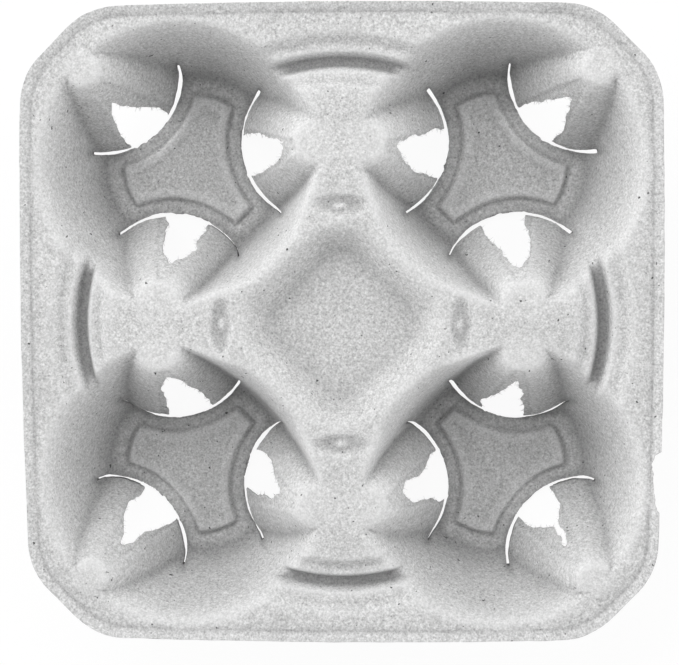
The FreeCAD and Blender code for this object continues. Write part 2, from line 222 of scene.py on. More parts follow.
def lattice_noise(x, y, cell, seed):
    """Smooth noise between -1 and 1 with one random value per cell corner."""
    rng = np.random.default_rng(seed)
    table = rng.uniform(-1, 1, (64, 64))
    u, v = x / cell + 1000.5, y / cell + 1000.5
    i, j = np.floor(u).astype(int), np.floor(v).astype(int)
    fu, fv = step(u - i), step(v - j)
    a, b = table[i % 64, j % 64], table[(i + 1) % 64, j % 64]
    c, d = table[i % 64, (j + 1) % 64], table[(i + 1) % 64, (j + 1) % 64]
    return (a * (1 - fu) + b * fu) * (1 - fv) + (c * (1 - fu) + d * fu) * fv


def noise_sum(x, y, noises):
    """Several noises added up."""
    return sum(rise * lattice_noise(x, y, cell, seed) for rise, cell, seed in noises)


def edge_distance(x, y):
    """How far a plan point lies inside the outline."""
    ax, ay = np.abs(x), np.abs(y)
    side = HALF - CORNER_LEG
    right = HALF - BOW * (ay / side) ** 2 - ax
    top = HALF - BOW * (ax / side) ** 2 - ay
    cut = (HALF - BOW + side - ax - ay) / math.sqrt(2)
    return soft_min(soft_min(right, cut, OUTLINE_BLEND), top, OUTLINE_BLEND)


TROUGH_TABLE = smoothed(TROUGH_SECTION, 0.3)
BOWL_TABLE = smoothed(
    ((-12.0, 0.0), (0.0, 0.0), (BOWL_SLOPE, -BOWL_DEPTH), (40.0, -BOWL_DEPTH)), 1.3)


def deck_height(x, y):
    """The height of the deck: lip, side troughs, middle bowl and dimples."""
    ax, ay = np.abs(x), np.abs(y)
    z = np.full_like(ax, DECK)
    inside = edge_distance(x, y)
    z += LIP_RISE * np.clip(1 - inside / LIP_WIDTH, 0, 1.5)
    z -= LIP_CREASE[0] * np.exp(-(((inside - LIP_WIDTH) / LIP_CREASE[1]) ** 2))
    for along, across in ((ax, ay), (ay, ax)):
        radius = np.hypot(along, across - TROUGH_CENTRE)
        drop = np.interp(radius, *TROUGH_TABLE)
        z += np.where(along < TROUGH_SPREAD * (across - TROUGH_CENTRE), drop, 0.0)
    side = BOWL_SIDE - (ax + ay) / math.sqrt(2)
    middle = soft_min(side, BOWL_END - np.maximum(ax, ay), BOWL_BLEND)
    z += np.interp(middle, *BOWL_TABLE)
    for along, across in ((ax, ay), (ay, ax)):
        lens = (along / DIMPLE_HALF[0]) ** 2 + ((across - DIMPLE) / DIMPLE_HALF[1]) ** 2
        z -= DIMPLE_DEPTH * np.clip(1 - lens, 0, 1) ** 0.8
        past = (across - DIMPLE + NUB_SHIFT) / NUB_HALF[1]
        z += NUB_RISE * np.exp(-((along / NUB_HALF[0]) ** 2 + past ** 2))
        rise, place, half = KNOB
        z += rise * np.exp(-((along / half) ** 2 + ((across - place) / half) ** 2))
    return z


def well_height(x, y):
    """The height of a well and its steepness: floor, walls, tongues and pad."""
    ax, ay = np.abs(x), np.abs(y)
    depth = DECK - FLOOR
    radius = np.hypot(ax - WELL, ay - WELL)
    wall_slope = depth / (WELL_TOP - WELL_FLOOR)
    ridge_slope = depth / RIDGE_LEAN
    wall = FLOOR + (radius - WELL_FLOOR) * wall_slope
    shifted = WELL + INNER_SHIFT / math.sqrt(2)
    inner_top = WELL * math.sqrt(2) - RIDGE + INNER_SHIFT
    inner = np.hypot(ax - shifted, ay - shifted)
    ridge_wall = DECK + (inner - inner_top) * ridge_slope
    steep = wall_slope + (ridge_slope - wall_slope) * step((ridge_wall - wall) / TAKEOVER + 0.5)
    walls = soft_max(wall, ridge_wall, INNER_WALL_BLEND)
    z = soft_max(np.full_like(ax, FLOOR), walls, FOOT_BLEND * steep)
    arcs = np.full_like(ax, 99.0)
    for heading, nose in TONGUES.values():
        px, py = tongue_axis(heading)
        away = np.hypot(ax - px, ay - py)
        slope = depth / (TONGUE_FOOT - nose)
        tongue = FLOOR + (TONGUE_FOOT - away) * slope
        valley = 0.01 + VALLEY_BLEND * slope * step((tongue - FLOOR) / TAKEOVER)
        steep = np.where(tongue > z, slope, steep)
        z = np.where(tongue > FLOOR, soft_max(z, tongue, valley), z)
        arcs = np.minimum(arcs, away - PAD_REACH)
    pad = np.minimum(PAD_RADIUS - radius, arcs)
    z += PAD_RISE * step(pad / 1.1 + 0.3)
    z -= PAD_GROOVE * np.exp(-(((pad + 0.9) / PAD_GROOVE_HALF) ** 2))
    inside = step((arcs - PAD_BORDER) / 1.0 + 0.5) * step((PAD_RADIUS - 1.2 - radius) / 3.0)
    z -= PAD_SINK * inside * (pad > 0.5)
    return z, steep


def height(x, y):
    """The height of the sheet's top surface at plan points."""
    ax, ay = np.abs(x), np.abs(y)
    well, steep = well_height(x, y)
    along = step((CREST_LENGTH - np.abs(ax - ay)) / CREST_FADE)
    crest = SADDLE_BLEND + (CREST_BLEND * steep - SADDLE_BLEND) * along
    blend = np.where(steep > STEEP, crest, SHOULDER_BLEND * steep)
    z = soft_min(deck_height(x, y), well, blend)
    px, py = tongue_axis(TONGUES["corner"][0])
    radius, rise, edge = DISC
    z += rise * step((radius - np.hypot(ax - px, ay - py)) / edge)
    return z + noise_sum(x, y, UNEVEN)


def cavity(x, y, reach):
    """How far the surface at a point lies below its surroundings."""
    around = np.zeros_like(x)
    for turn in range(8):
        way = turn * math.tau / 8
        around += top_height(x + reach * math.cos(way), y + reach * math.sin(way))
    gap = around / 8 - top_height(x, y)
    nudge = CREASE_PROBE
    dx = top_height(x + nudge, y) - top_height(x - nudge, y)
    dy = top_height(x, y + nudge) - top_height(x, y - nudge)
    return gap / np.sqrt(1 + (dx * dx + dy * dy) / (2 * nudge) ** 2)


def painted_shade_and_highlight(x, y):
    """How much painted shade or painted highlight a place takes: 1 for painted shade in the sharpest
    crease, -1 for a painted highlight on a crest.
    """
    mark = sum(cavity(x, y, reach) / depth for reach, depth in (CREASE_NEAR, CREASE_FAR))
    end = math.radians(SLIT_ANGLE)
    middle = TONGUE_FOOT - SLIT / 2
    for tongue, (_, nose) in TONGUES.items():
        u, v = tongue_frame(x, y, tongue)
        # A tongue's nose is painted paler, a painted highlight.
        mark -= NOSE_PAINTED_HIGHLIGHT * step((nose + 0.4 - np.hypot(u, v)) / 1.2)
        # Each end of a slit is painted darker, painted shade.
        for side in (-1, 1):
            away = np.hypot(u - middle * math.cos(end), v - side * middle * math.sin(end))
            mark += SLIT_END_PAINTED_SHADE[0] * np.exp(-((away / SLIT_END_PAINTED_SHADE[1]) ** 2))
    return mark


# Each torn opening by quarter and tongue: distance from the tongue's axis
# towards the well, then the two sides of the hole measured across.
TORN = {
    ("left", "top"): {
        "corner": (
            (12.8, 2.2, 2.6), (15, 1, 5.4), (18, -0.8, 7.5),
            (21, -4.4, 9.9), (24, -6.5, 11), (29, -6.6, 9.4)),
        "left": (
            (11.2, 0, 2), (13.5, -3.6, 3.8), (16.5, -5, 4.6),
            (19.5, -5.6, 6.6), (22.5, -6.9, 7.7), (29, -7.1, 7.8)),
        "lower": (
            (13, -1.2, 0), (15, -4.4, 2.4), (18, -7.1, 4.1),
            (21, -7.1, 5.2), (24, -8.4, 5), (29, -8.2, 9.4)),
    },
    ("right", "top"): {
        "corner": (
            (12.8, 0.6, 1.4), (15, -1.4, 3), (18, -3.7, 4.9),
            (21, -5.6, 8.1), (24, -8, 8.1), (29, -9.4, 8.6)),
        "left": (
            (11, 0, 1.6), (13.5, -3.4, 3.8), (16.5, -6.1, 5.2),
            (19.5, -7.9, 6.4), (22.5, -7.8, 9), (29, -8.7, 9.2)),
        "lower": (
            (11, 0.6, 1.6), (13.5, -2.9, 4.7), (16.5, -3.6, 6.2),
            (19.5, -6.2, 7), (22.5, -8.4, 6.7), (29, -9.4, 7.6)),
    },
    ("left", "bottom"): {
        "corner": (
            (12.6, -0.8, 0.2), (15, -2.7, 2.8), (18, -3.4, 6.2),
            (21, -6.2, 8.2), (24, -8.1, 6.9), (29, -9.4, 7.6)),
        "left": (
            (14, -2, 0.4), (16.5, -4.1, 3.7), (18, -7.3, 3.7),
            (21, -8.9, 5), (24, -9, 5.5), (29, -8.6, 6.2)),
        "lower": (
            (9.6, -1, 0), (12, -3.6, 2), (15, -5.3, 4.4),
            (18, -7.4, 4.5), (21, -8.9, 5.2), (29, -9.4, 7.8)),
    },
    ("right", "bottom"): {
        "corner": (
            (12.8, -0.6, 0.2), (15, -0.3, 2.1), (18, 0.6, 2.8),
            (21, -4.4, 6.9), (24, -7.5, 8.3), (29, -7.1, 8.1)),
        "left": (
            (12.6, -1.3, -0.4), (15, -4.4, 4.1), (18, -3.4, 5.4),
            (21, -4.8, 5.8), (24, -9, 9.4), (29, -8.4, 9.4)),
        "lower": (
            (11.4, -0.2, 0.4), (13.5, -1.1, 1.4), (16.5, -3.5, 3.9),
            (19.5, -5.1, 4.2), (22.5, -9, 5.9), (29, -8.7, 7.7)),
    },
}
# The broken place in the right-hand edge, as a polygon that is left out.
NICK = (
    (104.6, -46.6), (106.0, -43.4), (112.0, -39.5), (112.0, -66.0), (106.5, -62.7), (105.4, -55.0),
)


def tongue_frame(x, y, tongue):
    """A plan point as distance from a tongue's axis to the well and across it."""
    px, py = tongue_axis(TONGUES[tongue][0])
    ux, uy = WELL - px, WELL - py
    length = math.hypot(ux, uy)
    ux, uy = ux / length, uy / length
    side = {"corner": (-uy, ux), "left": (0.0, 1.0), "lower": (1.0, 0.0)}[tongue]
    vx, vy = -uy, ux
    if vx * side[0] + vy * side[1] < 0:
        vx, vy = -vx, -vy
    dx, dy = np.abs(x) - px, np.abs(y) - py
    return dx * ux + dy * uy, dx * vx + dy * vy


def slit_distance(u, v, share):
    """How far a point lies outside the slit at a tongue's foot, open by a share."""
    radius, angle = np.hypot(u, v), np.abs(np.arctan2(v, u))
    across = np.abs(radius - (TONGUE_FOOT - SLIT / 2)) - share * SLIT / 2
    along = (angle - math.radians(SLIT_ANGLE)) * TONGUE_FOOT
    return np.maximum(across, along)


def hole_distance(u, v, stations):
    """How far a point in a tongue's frame lies outside its torn opening."""
    where, below, above = np.array(stations).T
    low = np.interp(u, where, below)
    high = np.interp(u, where, above)
    across = np.maximum(low - v, v - high)
    out = np.maximum(across * 0.85, (where[0] - u) * 0.85)
    return np.maximum(out, np.hypot(u, v) - (TONGUE_FOOT - 0.4))


def polygon_distance(x, y, corners):
    """How far a plan point lies outside a polygon, and negative inside it."""
    best, inside = np.full_like(x, 1e9), np.zeros(x.shape, bool)
    for (ax, ay), (bx, by) in zip(corners, corners[1:] + corners[:1]):
        dx, dy = bx - ax, by - ay
        t = np.clip(((x - ax) * dx + (y - ay) * dy) / (dx * dx + dy * dy), 0, 1)
        best = np.minimum(best, np.hypot(x - ax - t * dx, y - ay - t * dy))
        crosses = (ay > y) != (by > y)
        reach = ax + (y - ay) * dx / (dy if abs(dy) > 1e-9 else 1e-9)
        inside ^= crosses & (x < reach)
    return np.where(inside, -best, best)


def quarter_masks(x, y):
    """The four quarters of the tray with the points that lie in each."""
    for sx, right in (("left", x < 0), ("right", x >= 0)):
        for sy, top in (("bottom", y < 0), ("top", y >= 0)):
            yield (sx, sy), right & top


def sheet_margin(x, y):
    """How far a plan point lies inside the sheet, past outline, slits and holes."""
    ragged = noise_sum(x, y, RAGGED)
    margin = edge_distance(x, y) + noise_sum(x, y, (WAVY_EDGE,))
    margin = np.minimum(margin, polygon_distance(x, y, NICK) + 0.6 * ragged)
    for quarter, chosen in quarter_masks(x, y):
        for tongue in TONGUES:
            u, v = tongue_frame(x, y, tongue)
            near = chosen & (np.hypot(u, v) < TONGUE_FOOT + 4)
            if near.any():
                hole = hole_distance(u[near], v[near], TORN[quarter][tongue]) + ragged[near]
                least, more, cell, seed = SLIT_OPEN
                share = least + more * lattice_noise(x[near], y[near], cell, seed)
                slit = slit_distance(u[near], v[near], share)
                gap = np.minimum(hole, slit + 0.2 * ragged[near])
                margin[near] = np.minimum(margin[near], gap)
    return margin


def web_share(x, y):
    """How much a point belongs to the thin torn webs, from 0 to 1."""
    share = np.zeros_like(x)
    for quarter, chosen in quarter_masks(x, y):
        for tongue in TONGUES:
            u, v = tongue_frame(x, y, tongue)
            half = np.interp(u, WEB_AWAY, WEB_HALF)
            where, below, above = np.array(TORN[quarter][tongue]).T
            low = np.minimum(-half, np.interp(u, where, below - WEB_PAST))
            high = np.maximum(half, np.interp(u, where, above + WEB_PAST))
            inside = np.minimum(np.minimum(high - v, v - low), u - WEB_START)
            inside = np.where(np.hypot(u, v) < TONGUE_FOOT - 0.2, inside, -1.0)
            share = np.maximum(share, np.where(chosen, step(inside / 0.6), 0.0))
    return share


def top_height(x, y):
    """The top surface with the torn webs sunk below the tongues."""
    return height(x, y) - WEB_DROP * web_share(x, y)


def plan_triangles(finest, tolerance):
    """Triangles over the square plan, finer where the sheet bends or ends."""
    span = HALF + PLAN_PAST
    cells = PLAN_CELLS
    grid = np.linspace(-span, span, cells + 1)
    points = np.array([(px, py) for py in grid for px in grid])
    tris = []
    for j in range(cells):
        for i in range(cells):
            a = j * (cells + 1) + i
            b, c, d = a + 1, a + cells + 2, a + cells + 1
            if (i + j) % 2:
                tris += [(b, c, a), (d, a, c)]
            else:
                tris += [(a, b, d), (c, d, b)]
    tris = np.array(tris)
    margin = sheet_margin(points[:, 0], points[:, 1])
    level = top_height(points[:, 0], points[:, 1])
    for _ in range(HALVINGS):
        p, l, r = tris.T
        pp, pl, pr = points[p], points[l], points[r]
        size = np.linalg.norm(pl - pr, axis=1)
        wrong = np.zeros(len(tris))
        least = np.minimum(np.minimum(margin[p], margin[l]), margin[r])
        most = np.maximum(np.maximum(margin[p], margin[l]), margin[r])
        mixed = (least < 0) & (most > 0)
        outside = np.ones(len(tris), bool)
        ex, ey = pl - pp, pr - pp
        area = ex[:, 0] * ey[:, 1] - ex[:, 1] * ey[:, 0]
        zx, zy = level[l] - level[p], level[r] - level[p]
        gx = (zx * ey[:, 1] - zy * ex[:, 1]) / area
        gy = (zy * ex[:, 0] - zx * ey[:, 0]) / area
        tilt = np.sqrt(1 + gx * gx + gy * gy)
        for wp, wl, wr in PROBES:
            q = wp * pp + wl * pl + wr * pr
            flat = wp * level[p] + wl * level[l] + wr * level[r]
            wrong = np.maximum(wrong, np.abs(top_height(q[:, 0], q[:, 1]) - flat) / tilt)
            inner = sheet_margin(q[:, 0], q[:, 1])
            mixed |= (inner < 0) != (margin[p] < 0)
            outside &= inner < WELL_OUTSIDE
        outside &= most < WELL_OUTSIDE
        wanted = (wrong > tolerance) | mixed | (size > COARSEST)
        wanted &= size > finest * np.where(mixed, 1.0, 1.3)
        wanted &= ~(outside & (size < COARSEST_OUTSIDE))
        if not wanted.any():
            break
        edges = [np.stack(pair, 1) for pair in ((l, r), (p, l), (r, p))]
        edges = np.sort(np.concatenate(edges), axis=1)
        keys, ids = np.unique(edges[:, 0] * (1 << 32) + edges[:, 1], return_inverse=True)
        ids = ids.reshape(3, -1)
        marked = np.zeros(len(keys), bool)
        marked[ids[0][wanted]] = True
        while True:
            pull = (marked[ids[1]] | marked[ids[2]]) & ~marked[ids[0]]
            if not pull.any():
                break
            marked[ids[0][pull]] = True
        fresh = np.flatnonzero(marked)
        ends = np.stack([keys[fresh] >> 32, keys[fresh] & 0xFFFFFFFF], 1)
        middle = points[ends].mean(1)
        number = np.full(len(keys), -1)
        number[fresh] = len(points) + np.arange(len(fresh))
        points = np.concatenate([points, middle])
        margin = np.concatenate([margin, sheet_margin(middle[:, 0], middle[:, 1])])
        level = np.concatenate([level, top_height(middle[:, 0], middle[:, 1])])
        split = marked[ids[0]]
        kept = [tris[~split]]
        p, l, r = p[split], l[split], r[split]
        m, on_left, on_right = number[ids][:, split]
        for apex, left, right, cut in ((m, p, l, on_left), (m, r, p, on_right)):
            again = cut >= 0
            kept.append(np.stack([apex, left, right], 1)[~again])
            kept.append(np.stack([cut, apex, left], 1)[again])
            kept.append(np.stack([cut, right, apex], 1)[again])
        tris = np.concatenate(kept)
    return points, tris, margin


def only_used(points, tris):
    """The triangles with the points that they use, numbered afresh."""
    used = np.unique(tris)
    back = np.full(len(points), -1)
    back[used] = np.arange(len(used))
    return points[used], back[tris]


def trimmed(points, tris, margin):
    """The triangles cut along the line where the margin is zero."""
    margin = np.where(np.abs(margin) < 1e-4, 1e-4, margin)
    inside = margin > 0
    full = inside[tris].all(1)
    cross = inside[tris].any(1) & ~full
    made, extra, known = [tris[full]], [], {}

    def crossing(a, b):
        key = (min(a, b), max(a, b))
        if key not in known:
            t = margin[a] / (margin[a] - margin[b])
            known[key] = len(points) + len(extra)
            extra.append(points[a] + (points[b] - points[a]) * min(max(t, 0.02), 0.98))
        return known[key]

    faces = []
    for tri in tris[cross].tolist():
        while not inside[tri[0]] or inside[tri[2]] and not inside[tri[1]]:
            tri = tri[1:] + tri[:1]
        a, b, c = tri
        if inside[b]:
            bc, ca = crossing(b, c), crossing(c, a)
            faces += [(a, b, bc), (a, bc, ca)]
        else:
            faces.append((a, crossing(a, b), crossing(c, a)))
    made.append(np.array(faces))
    return only_used(np.concatenate([points, np.array(extra)]), np.concatenate(made))


def largest_part(points, tris):
    """Only the triangles joined to the main sheet, without loose crumbs."""
    label = np.arange(len(points))
    while True:
        low = label[tris].min(1)
        fresh = label.copy()
        for k in range(3):
            np.minimum.at(fresh, tris[:, k], low)
        fresh = fresh[fresh]
        if (fresh == label).all():
            break
        label = fresh
    names, counts = np.unique(label[tris[:, 0]], return_counts=True)
    return only_used(points, tris[label[tris[:, 0]] == names[counts.argmax()]])


def underside(x, y, wall):
    """The height of the underside, one wall's thickness below the top."""
    lowest = top_height(x, y) - wall
    for share in BALL_RINGS:
        for turn in range(BALL_TURNS):
            way = turn * math.tau / BALL_TURNS
            dx, dy = share * wall * math.cos(way), share * wall * math.sin(way)
            ball = wall * math.sqrt(1 - share * share)
            lowest = np.minimum(lowest, top_height(x + dx, y + dy) - ball)
    return np.maximum(lowest, 0.0)


def sheet_mesh(wall, web_wall, finest, tolerance):
    """Corner points and triangles of the whole sheet with its two sides."""
    points, tris = largest_part(*trimmed(*plan_triangles(finest, tolerance)))
    x, y = points.T
    share = web_share(x, y)
    thick = wall + (web_wall - wall) * share
    top = top_height(x, y)
    low = np.minimum(underside(x, y, thick), top - THINNEST)
    count = len(points)
    edges = np.concatenate([tris[:, (0, 1)], tris[:, (1, 2)], tris[:, (2, 0)]])
    forward = set(map(tuple, edges.tolist()))
    rim = np.array(sorted(e for e in forward if (e[1], e[0]) not in forward))
    a, b = rim.T
    walls = [np.stack(tri, 1) for tri in ((b, a, a + count), (b, a + count, b + count))]
    corners = np.concatenate([np.stack([x, y, top], 1), np.stack([x, y, low], 1)])
    faces = np.concatenate([tris, tris[:, ::-1] + count, *walls])
    # Painted shade and painted highlight on the top's points; the underside's points stay neutral at
    # 0.5.
    mark = 0.5 + 0.5 * np.clip(painted_shade_and_highlight(x, y), -1, 1)
    shade_and_highlight = np.concatenate([mark, np.full(count, 0.5)])
    return corners * MM, faces, shade_and_highlight, torn_points(corners, np.unique(rim))


def torn_points(corners, rim):
    """The points on the torn openings' edges, and the way each faces its hole."""
    x, y = corners[rim, 0], corners[rim, 1]
    chosen = np.zeros(len(rim), bool)
    for tongue in TONGUES:
        u, v = tongue_frame(x, y, tongue)
        chosen |= (np.hypot(u, v) < TONGUE_FOOT - SLIT - 0.4) & (u > TEAR_NEAREST)
    x, y = x[chosen], y[chosen]
    nudge = 0.3
    dx = sheet_margin(x - nudge, y) - sheet_margin(x + nudge, y)
    dy = sheet_margin(x, y - nudge) - sheet_margin(x, y + nudge)
    into = np.stack([dx, dy, np.full_like(dx, -0.25 * nudge)], 1)
    into /= np.linalg.norm(into, axis=1)[:, None] + 1e-9
    points = corners[rim[chosen]] - np.array([0.0, 0.0, 0.25])
    return points * MM, into


def plain_mesh(name, corners, faces):
    """A mesh object with smooth faces at the origin."""
    mesh = bpy.data.meshes.new(name)
    mesh.vertices.add(len(corners))
    mesh.vertices.foreach_set("co", corners.astype(np.float32).ravel())
    mesh.loops.add(len(faces) * 3)
    mesh.loops.foreach_set("vertex_index", faces.astype(np.int32).ravel())
    mesh.polygons.add(len(faces))
    mesh.polygons.foreach_set("loop_start", np.arange(len(faces), dtype=np.int32) * 3)
    mesh.update(calc_edges=True)
    mesh.validate()
    mesh.shade_smooth()
    piece = bpy.data.objects.new(name, mesh)
    bpy.context.scene.collection.objects.link(piece)
    return piece


def group_socket(group, name, kind, inward, default=None):
    """A named socket of a shader node group."""
    side = "INPUT" if inward else "OUTPUT"
    socket = group.interface.new_socket(name=name, in_out=side, socket_type=kind)
    if default is not None:
        socket.default_value = default
    return socket


def noise_node(tree, place, scale, detail, rough, seed):
    """Noise on a place in metres, with the size of its grains as 1/scale."""
    node = tree.nodes.new("ShaderNodeTexNoise")
    node.noise_dimensions = "4D"
    node.inputs["W"].default_value = seed
    node.inputs["Scale"].default_value = scale
    node.inputs["Detail"].default_value = detail
    node.inputs["Roughness"].default_value = rough
    tree.links.new(place, node.inputs["Vector"])
    return node.outputs["Fac"]


def ranged(tree, value, low, high):
    """A value's range mapped to 0 and 1, held at its ends."""
    node = tree.nodes.new("ShaderNodeMapRange")
    node.inputs["From Min"].default_value = low
    node.inputs["From Max"].default_value = high
    tree.links.new(value, node.inputs["Value"])
    return node.outputs["Result"]


def worked_out(tree, operation, first, second):
    """The result of a Math node over two sockets or numbers."""
    node = tree.nodes.new("ShaderNodeMath")
    node.operation = operation
    for socket, value in zip(node.inputs, (first, second)):
        if isinstance(value, (int, float)):
            socket.default_value = value
        else:
            tree.links.new(value, socket)
    return node.outputs[0]


def pulp_grain_group():
    """Masks of moulded pulp: fine grain, soft clouds and dark specks."""
    group = bpy.data.node_groups.new("pulp_grain", "ShaderNodeTree")
    group_socket(group, "Place", "NodeSocketVector", True)
    for name in ("Grain", "Clouds", "Specks", "Height"):
        group_socket(group, name, "NodeSocketFloat", False)
    place = group.nodes.new("NodeGroupInput").outputs["Place"]
    out = group.nodes.new("NodeGroupOutput")
    noise = {name: noise_node(group, place, *values) for name, values in PULP_NOISES.items()}
    fine = worked_out(group, "MULTIPLY", noise["fine"], 0.55)
    grain = worked_out(group, "ADD", fine, worked_out(group, "MULTIPLY", noise["coarse"], 0.45))
    grit = ranged(group, noise["grit"], 0.70, 0.74)
    specks = worked_out(group, "MULTIPLY", grit, ranged(group, noise["rare"], 0.5, 0.56))
    group.links.new(ranged(group, grain, 0.34, 0.66), out.inputs["Grain"])
    group.links.new(ranged(group, noise["clouds"], 0.25, 0.75), out.inputs["Clouds"])
    group.links.new(specks, out.inputs["Specks"])
    group.links.new(grain, out.inputs["Height"])
    return group


def mixed(tree, factor, first, second, blend="MIX"):
    """Two colours mixed by a factor."""
    node = tree.nodes.new("ShaderNodeMix")
    node.data_type = "RGBA"
    node.blend_type = blend
    for name, value in (("Factor", factor), ("A", first), ("B", second)):
        socket = [i for i in node.inputs if i.name == name and i.enabled][0]
        if hasattr(value, "node"):
            tree.links.new(value, socket)
        else:
            socket.default_value = value
    return [o for o in node.outputs if o.enabled][0]


def shade(colour, factor):
    """A colour made lighter or darker."""
    return (colour[0] * factor, colour[1] * factor, colour[2] * factor, 1.0)


def pulp_material(look):
    """Grey moulded pulp: matt, mottled, with fine grain and specks, painted shade in its creases and
    painted highlight on its crests.
    """
    material = bpy.data.materials.new("grey_pulp")
    material.use_nodes = True
    tree = material.node_tree
    shader = tree.nodes["Principled BSDF"]
    shader.inputs["Roughness"].default_value = 0.95
    shader.inputs["Specular IOR Level"].default_value = 0.15
    place = tree.nodes.new("ShaderNodeTexCoord").outputs["Object"]
    grain = tree.nodes.new("ShaderNodeGroup")
    grain.node_tree = pulp_grain_group()
    tree.links.new(place, grain.inputs["Place"])
    grains = [shade(look.colour, factor) for factor in GRAIN_SHADES]
    clouds = [shade(look.colour, factor) for factor in CLOUD_SHADES]
    colour = mixed(tree, grain.outputs["Grain"], *grains)
    clouded = mixed(tree, grain.outputs["Clouds"], *clouds)
    colour = mixed(tree, 1.0, colour, clouded, "MULTIPLY")
    # The point mask mixes in painted shade towards the crease colour and painted highlight towards a
    # paler pulp colour.
    shade_and_highlight = tree.nodes.new("ShaderNodeAttribute")
    shade_and_highlight.attribute_name = "shade_and_highlight"
    for end, other in ((1.0, shade(look.painted_shade_colour, 1.0)), (0.0, shade(look.colour, PAINTED_HIGHLIGHT_FACTOR))):
        strength = ranged(tree, shade_and_highlight.outputs["Fac"], 0.5, end)
        colour = mixed(tree, worked_out(tree, "MULTIPLY", strength, SHADE_AND_HIGHLIGHT_SHARE), colour, other)
    colour = mixed(tree, grain.outputs["Specks"], colour, shade(look.speck_colour, 1.0))
    tree.links.new(colour, shader.inputs["Base Color"])
    bump = tree.nodes.new("ShaderNodeBump")
    bump.inputs["Strength"].default_value = PULP_BUMP[0]
    bump.inputs["Distance"].default_value = PULP_BUMP[1]
    tree.links.new(grain.outputs["Height"], bump.inputs["Height"])
    tree.links.new(bump.outputs["Normal"], shader.inputs["Normal"])
    return material


def studio_light(light):
    """A soft white room: bright at its two sides, dimmer before and behind."""
    world = bpy.data.worlds.new("studio_room")
    world.use_nodes = True
    tree = world.node_tree
    white = tree.nodes["Background"]
    white.inputs["Color"].default_value = (1, 1, 1, 1)
    way = tree.nodes.new("ShaderNodeTexCoord")
    parts = tree.nodes.new("ShaderNodeSeparateXYZ")
    tree.links.new(way.outputs["Generated"], parts.inputs[0])
    across, along = parts.outputs[0], parts.outputs[1]
    sides = worked_out(tree, "MULTIPLY", worked_out(tree, "MULTIPLY", across, across), light.sides)
    total = worked_out(tree, "ADD", sides, light.all_round)
    for strength, sign in ((light.back, 1.0), (light.front, -1.0)):
        facing = worked_out(tree, "MAXIMUM", worked_out(tree, "MULTIPLY", along, sign), 0.0)
        squared = worked_out(tree, "MULTIPLY", facing, facing)
        total = worked_out(tree, "ADD", total, worked_out(tree, "MULTIPLY", squared, strength))
    tree.links.new(total, white.inputs["Strength"])
    return world


def backdrop_paper(seen_white):
    """Pale paper whose own white shows to the camera, with a trace of shadow."""
    material = bpy.data.materials.new("backdrop_paper")
    material.use_nodes = True
    nodes, links = material.node_tree.nodes, material.node_tree.links
    paper = nodes["Principled BSDF"]
    paper.inputs["Base Color"].default_value = (0.9, 0.9, 0.9, 1)
    paper.inputs["Roughness"].default_value = 0.9
    white = nodes.new("ShaderNodeEmission")
    path = nodes.new("ShaderNodeLightPath")
    share = nodes.new("ShaderNodeMath")
    share.operation = "MULTIPLY"
    share.inputs[1].default_value = seen_white
    mix = nodes.new("ShaderNodeMixShader")
    links.new(path.outputs["Is Camera Ray"], share.inputs[0])
    links.new(share.outputs[0], mix.inputs[0])
    links.new(paper.outputs[0], mix.inputs[1])
    links.new(white.outputs[0], mix.inputs[2])
    links.new(mix.outputs[0], nodes["Material Output"].inputs["Surface"])
    return material


def tree_node(tree, kind, **values):
    """A node of a tree with values set on its named sockets."""
    node = tree.nodes.new(kind)
    for name, value in values.items():
        socket = node.inputs[name.replace("_", " ")]
        if hasattr(value, "node"):
            tree.links.new(value, socket)
        else:
            socket.default_value = value
    return node


